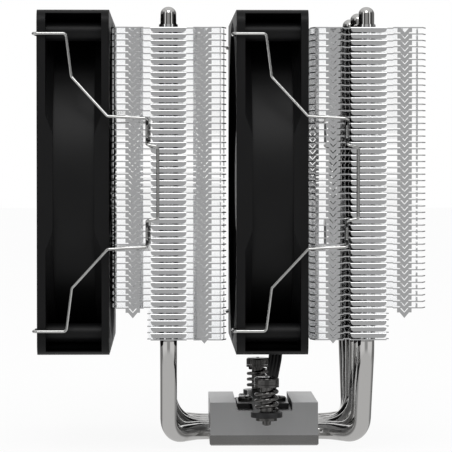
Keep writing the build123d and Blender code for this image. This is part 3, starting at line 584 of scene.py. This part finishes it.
def paint_cooler():
    fins = rolled_aluminium()
    for tower in ("front", "rear"):
        paint(f"{tower}_fin_stack", fins)
    nickel = nickel_plating()
    for i in range(1, 7):
        paint(f"heat_pipe_{i}", nickel)
    paint("cold_plate", lapped_plate())
    paint("base_block", milled_block())
    paint("mounting_crossbar", black_bar())
    screws = dark_chrome()
    paint("crossbar_screws", screws)
    for side in ("near", "far"):
        for piece in ("spring_screw", "thrust_washer", "retaining_ring"):
            paint(f"{side}_{piece}", screws)


def paint_fans():
    plastic, wire = moulded_frame(), bright_wire()
    magnet, shaft, bronze = pressed_ferrite(), ground_steel(), oiled_bronze()
    core, copper = stacked_laminations(), wound_copper()
    for fan in ("front_fan", "middle_fan"):
        low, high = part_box(f"{fan}_frame")
        centre = (low.x, 0.0, (low.z + high.z) / 2)
        paint(f"{fan}_frame", plastic)
        paint(f"{fan}_impeller", moulded_blades(centre))
        paint(f"{fan}_hub_label", printed_label(centre))
        paint(f"{fan}_magnet_ring", magnet)
        for piece in ("motor_shaft", "shaft_clip"):
            paint(f"{fan}_{piece}", shaft)
        paint(f"{fan}_sleeve_bearing", bronze)
        paint(f"{fan}_stator_core", core)
        paint(f"{fan}_windings", copper)
        board_low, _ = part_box(f"{fan}_circuit_board")
        paint(f"{fan}_circuit_board", solder_board(board_low.x + 0.85 * MM))
        for side in ("near", "far"):
            paint(f"{fan}_clip_{side}", wire)


def paint_lead(lead):
    lead.data.materials.append(ribbon_jacket().material)
    paint("middle_fan_lead_connector", nylon_housing())
    paint("middle_fan_lead_tie", tie_band())


# ---------------------------------------------------------------- stage
COOLER_MIDDLE = (-0.01, 0.0, 0.08)


def softbox(name, place, size, power, tall=None):
    """A rectangular lamp that faces the middle of the cooler."""
    lamp = bpy.data.lights.new(name, "AREA")
    lamp.shape, lamp.size, lamp.size_y = "RECTANGLE", size, tall or size
    lamp.energy = power
    holder = bpy.data.objects.new(name, lamp)
    bpy.context.scene.collection.objects.link(holder)
    holder.location = place
    aim(holder, COOLER_MIDDLE)


FLOOR_Z = -0.2 * MM
FLOOR_SIZE = 9.0
# Brightness of the room from straight behind the cooler (0) to straight in front of it (1).
# Low down there are wide pale boards in front; from the level up only a slim grey one.
LOW_WALLS = [(0.0, 1.0), (0.02, 1.0), (0.07, 0.20), (0.46, 0.20), (0.58, 0.80), (0.95, 0.80),
             (0.985, 0.36), (1.0, 0.36)]
HIGH_WALLS = [(0.0, 1.0), (0.02, 1.0), (0.07, 0.20), (0.46, 0.20), (0.58, 0.07), (0.95, 0.07),
              (0.985, 0.36), (1.0, 0.36)]
# Height of a direction, from -1 straight down to 1 straight up, over which one gives way to the next.
LOW_TO_HIGH = (-0.085, -0.060)
WALL_TO_CEILING = (0.30, 0.60)
CEILING = 0.62


def room():
    """Room light by direction: the walls round the level, pale overhead and underneath."""
    world = bpy.data.worlds.new("studio")
    world.use_nodes = True
    bpy.context.scene.world = world
    tree = world.node_tree
    tree.nodes.clear()

    def add(kind, **settings):
        made = tree.nodes.new(kind)
        for key, value in settings.items():
            setattr(made, key, value)
        return made

    def sum_of(operation, *parts):
        made = add("ShaderNodeMath", operation=operation)
        for i, part in enumerate(parts):
            if isinstance(part, bpy.types.NodeSocket):
                tree.links.new(part, made.inputs[i])
            else:
                made.inputs[i].default_value = part
        return made.outputs[0]

    split = add("ShaderNodeSeparateXYZ")
    tree.links.new(add("ShaderNodeTexCoord").outputs["Generated"], split.inputs[0])
    x, y, z = split.outputs
    level = sum_of("SQRT", sum_of("ADD", sum_of("MULTIPLY", x, x), sum_of("MULTIPLY", y, y)))
    round_from_back = sum_of("MULTIPLY_ADD", sum_of("DIVIDE", y, level), -0.5, 0.5)

    def ring(stops):
        """Wall brightness all the way round, evenly graded between the stops."""
        walls = add("ShaderNodeValToRGB")
        ramp = walls.color_ramp.elements
        ramp[0].position, ramp[1].position = stops[0][0], stops[-1][0]
        for place, _ in stops[1:-1]:
            ramp.new(place)
        for stop, (_, shade) in zip(ramp, stops):
            stop.color = (shade, shade, shade, 1)
        tree.links.new(round_from_back, walls.inputs[0])
        return walls.outputs[0]

    def grade(height, span):
        """0 below the span of heights, 1 above it."""
        made = add("ShaderNodeMapRange", interpolation_type="SMOOTHSTEP")
        made.inputs["From Min"].default_value, made.inputs["From Max"].default_value = span
        tree.links.new(height, made.inputs["Value"])
        return made.outputs[0]

    walls = add("ShaderNodeMix", data_type="RGBA")
    dome = add("ShaderNodeMix", data_type="RGBA")
    dome.inputs[7].default_value = (CEILING, CEILING, CEILING, 1)
    around = add("ShaderNodeBackground")
    seen = add("ShaderNodeBackground")
    choose = add("ShaderNodeMixShader")
    out = add("ShaderNodeOutputWorld")
    link = tree.links.new
    link(grade(z, LOW_TO_HIGH), walls.inputs[0])
    link(ring(LOW_WALLS), walls.inputs[6])
    link(ring(HIGH_WALLS), walls.inputs[7])
    link(grade(sum_of("ABSOLUTE", z), WALL_TO_CEILING), dome.inputs[0])
    link(walls.outputs[2], dome.inputs[6])
    link(dome.outputs[2], around.inputs["Color"])
    link(add("ShaderNodeLightPath").outputs["Is Camera Ray"], choose.inputs[0])
    link(around.outputs[0], choose.inputs[1])
    link(seen.outputs[0], choose.inputs[2])
    link(choose.outputs[0], out.inputs[0])
    seen.inputs["Color"].default_value = (1, 1, 1, 1)


def lamps():
    softbox("left_box", (-0.75, -0.75, 0.35), 0.25, 0.5, tall=0.7)
    softbox("right_box", (0.75, -0.75, 0.35), 0.25, 0.5, tall=0.7)
    softbox("front_box", (-0.01, -0.85, 0.85), 0.5, 3.0)
    softbox("top_box", (0.0, 0.0, 0.9), 0.9, 0.3)


def pale_floor():
    """A wide white sheet that shows soft shadows and leaves the mirror-bright metal clear."""
    bpy.ops.object.select_all(action="DESELECT")
    bpy.ops.mesh.primitive_plane_add(size=FLOOR_SIZE, location=(0, 0, FLOOR_Z))
    floor = bpy.context.active_object
    floor.name = "floor"
    floor.visible_glossy = False
    sweep = Finish("white_sweep", Base_Color=(0.10, 0.10, 0.10), Roughness=0.9,
                   Specular_IOR_Level=0.0, Emission_Color=(1, 1, 1), Emission_Strength=0.92)
    floor.data.materials.append(sweep.material)


def studio():
    room()
    lamps()
    pale_floor()
    scene = bpy.context.scene
    scene.view_settings.view_transform = "Standard"
    scene.cycles.max_bounces, scene.cycles.glossy_bounces = 14, 12


place_camera()
lead = flat_lead()
paint_lead(lead)
paint_cooler()
paint_fans()
fit_springs()
studio()
